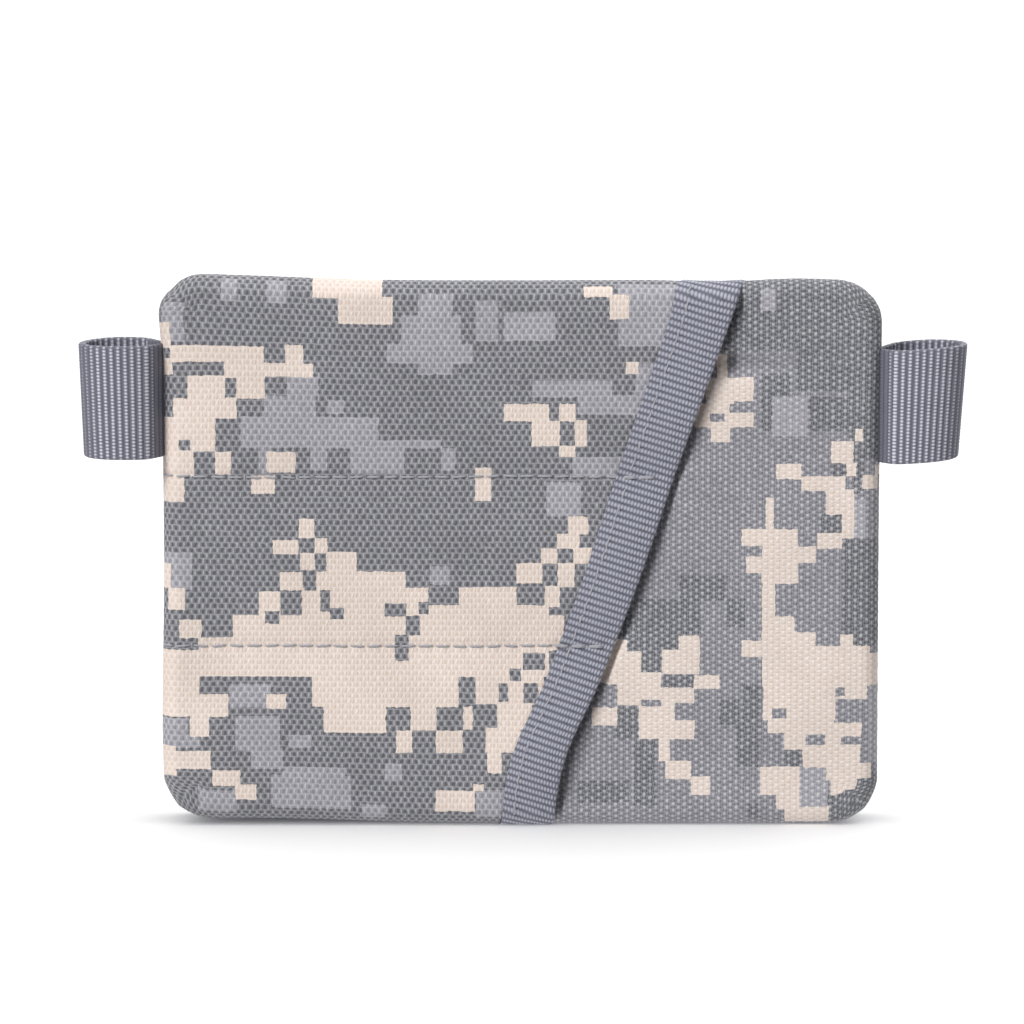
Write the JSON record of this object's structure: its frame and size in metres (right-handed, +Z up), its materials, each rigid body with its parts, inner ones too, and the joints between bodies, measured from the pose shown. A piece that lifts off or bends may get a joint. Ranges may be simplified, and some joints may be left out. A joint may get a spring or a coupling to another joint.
{
  "type": "trifold wallet",
  "caption": "Fabric trifold wallet that folds in a Z, with a slanted slot pocket, side webbing loops, card and bill pockets and a zipped coin pocket.",
  "frame": {"origin": "centre of the closed wallet's footprint, on the surface that it stands on", "axes": "+X right along the width, +Z up, and the slanted slot pocket faces -Y"},
  "size_m": [0.154, 0.021, 0.096],
  "materials": {
    "camo_cloth": "coated plain-weave polyester with a square-blocked camouflage print",
    "lining_cloth": "plain-weave nylon lining",
    "edge_tape": "ribbed grosgrain tape",
    "webbing": "ribbed woven webbing",
    "thread": "twisted sewing thread",
    "foam": "closed-cell foam sheet",
    "board": "stiffener sheet",
    "clear_film": "clear vinyl film",
    "hook_pad": "hook side of hook and loop tape",
    "loop_pad": "loop side of hook and loop tape",
    "zip_tape": "herringbone zip tape",
    "zip_chain": "nylon coil",
    "zip_metal": "painted zinc alloy"
  },
  "bodies": {
    "front_leaf": {"front_shell": "camo_cloth", "front_foam": "foam", "front_lining": "lining_cloth", "slot_pocket_panel": "camo_cloth", "pocket_edge_tape": "edge_tape", "tape_stitching": "thread", "upper_slot_stitching": "thread", "lower_slot_stitching": "thread", "id_window_frame": "edge_tape", "id_window_film": "clear_film", "front_hook_pad": "hook_pad", "upper_fold_strip": "edge_tape"},
    "middle_leaf": {"middle_front_lining": "lining_cloth", "middle_board": "board", "middle_rear_lining": "lining_cloth", "middle_edge_binding": "edge_tape", "card_pocket_upper": "lining_cloth", "card_pocket_middle": "lining_cloth", "card_pocket_lower": "lining_cloth", "bill_pocket_panel": "lining_cloth", "middle_loop_pad": "loop_pad", "middle_hook_pad": "hook_pad", "lower_fold_strip": "edge_tape"},
    "rear_leaf": {"rear_lower_panel": "camo_cloth", "rear_upper_panel": "camo_cloth", "rear_lining": "lining_cloth", "rear_board": "board", "coin_pocket_bag": "lining_cloth", "zip_tape_lower": "zip_tape", "zip_tape_upper": "zip_tape", "zip_chain_lower": "zip_chain", "zip_chain_upper": "zip_chain", "zip_stops": "zip_metal", "rear_loop_pad": "loop_pad"},
    "left_loop": {"left_webbing_loop": "webbing"},
    "right_loop": {"right_webbing_loop": "webbing"},
    "zip_slider": {"zip_slider": "zip_metal"},
    "zip_puller": {"zip_puller": "zip_metal"}
  },
  "joints": [
    {"name": "upper_fold", "type": "hinge", "parent": "front_leaf", "child": "middle_leaf", "pos_m": [0, -0.0005, 0.0955], "axis": [1, 0, 0], "range_deg": [0, 180]},
    {"name": "lower_fold", "type": "hinge", "parent": "middle_leaf", "child": "rear_leaf", "pos_m": [0, 0.0026, 0.0005], "axis": [-1, 0, 0], "range_deg": [0, 180]},
    {"name": "left_loop_turn", "type": "hinge", "parent": "front_leaf", "child": "left_loop", "pos_m": [-0.0595, -0.00445, 0.0745], "axis": [0, 0, 1], "range_deg": [-30, 30], "stiffness_Nm_per_rad": 0.02},
    {"name": "right_loop_turn", "type": "hinge", "parent": "front_leaf", "child": "right_loop", "pos_m": [0.0595, -0.00445, 0.0745], "axis": [0, 0, 1], "range_deg": [-30, 30], "stiffness_Nm_per_rad": 0.02},
    {"name": "zip_travel", "type": "slide", "parent": "rear_leaf", "child": "zip_slider", "axis": [-1, 0, 0], "range_m": [0, 0.092]},
    {"name": "puller_swing", "type": "hinge", "parent": "zip_slider", "child": "zip_puller", "pos_m": [0.046, 0.00965, 0.073], "axis": [1, 0, 0], "range_deg": [0, 165]}
  ]
}
